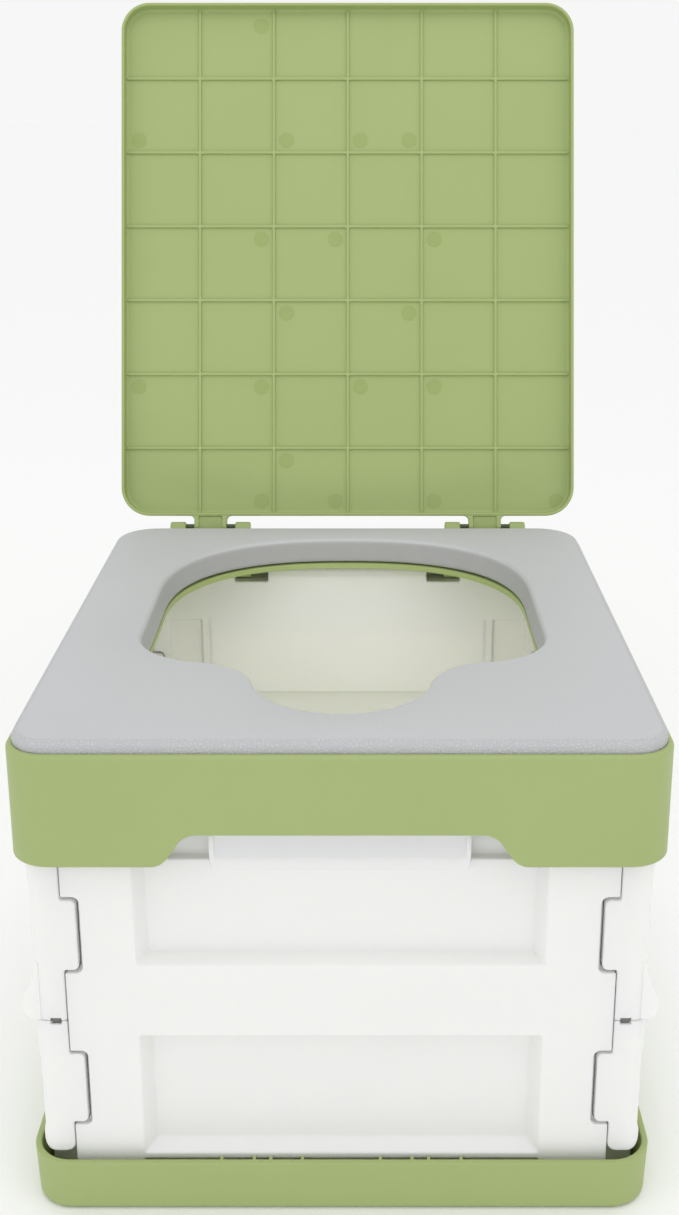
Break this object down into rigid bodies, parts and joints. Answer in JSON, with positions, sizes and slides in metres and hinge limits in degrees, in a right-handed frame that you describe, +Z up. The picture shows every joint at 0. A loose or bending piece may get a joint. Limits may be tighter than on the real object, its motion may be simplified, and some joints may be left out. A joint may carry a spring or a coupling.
{
  "type": "folding portable toilet",
  "caption": "Folding-crate portable toilet: hinged lid, foam seat pad with a D-shaped hole, top frame, bi-fold side walls, swinging end panels and a base tray.",
  "frame": {"origin": "centre of the base tray's underside", "axes": "+X to the sitter's left as seen from the front (right in a front view), +Y to the back, +Z up"},
  "size_m": [0.3208, 0.4851, 0.6146],
  "materials": {
    "green_plastic": "fine matt moulded polypropylene",
    "white_plastic": "satin moulded polypropylene",
    "hinge_plastic": "smooth moulded",
    "foam": "soft closed-cell foam with a fine leather grain"
  },
  "bodies": {
    "frame": {"base_tray": "green_plastic", "top_frame": "green_plastic", "seat_pad": "foam", "side_lower_left": "white_plastic", "side_upper_left": "white_plastic", "mid_hinge_rod_left": "hinge_plastic", "lid_hinge_pin_left": "hinge_plastic", "base_hinge_pin_left_front": "hinge_plastic", "frame_hinge_pin_left_front": "hinge_plastic", "base_hinge_pin_left_back": "hinge_plastic", "frame_hinge_pin_left_back": "hinge_plastic", "side_lower_right": "white_plastic", "side_upper_right": "white_plastic", "mid_hinge_rod_right": "hinge_plastic", "lid_hinge_pin_right": "hinge_plastic", "base_hinge_pin_right_front": "hinge_plastic", "frame_hinge_pin_right_front": "hinge_plastic", "base_hinge_pin_right_back": "hinge_plastic", "frame_hinge_pin_right_back": "hinge_plastic"},
    "lid": {"lid": "green_plastic"},
    "front_panel": {"front_panel": "white_plastic", "front_panel_pin_left": "hinge_plastic", "front_panel_pin_right": "hinge_plastic"},
    "back_panel": {"back_panel": "white_plastic", "back_panel_pin_left": "hinge_plastic", "back_panel_pin_right": "hinge_plastic"}
  },
  "joints": [
    {"name": "lid_hinge", "type": "hinge", "parent": "frame", "child": "lid", "pos_m": [0, 0.1895, 0.259], "axis": [1, 0, 0], "range_deg": [0, 106.7]},
    {"name": "front_panel_hinge", "type": "hinge", "parent": "frame", "child": "front_panel", "pos_m": [0, -0.165, 0.233], "axis": [1, 0, 0], "range_deg": [0, 88]},
    {"name": "back_panel_hinge", "type": "hinge", "parent": "frame", "child": "back_panel", "pos_m": [0, 0.165, 0.233], "axis": [-1, 0, 0], "range_deg": [0, 75]}
  ]
}
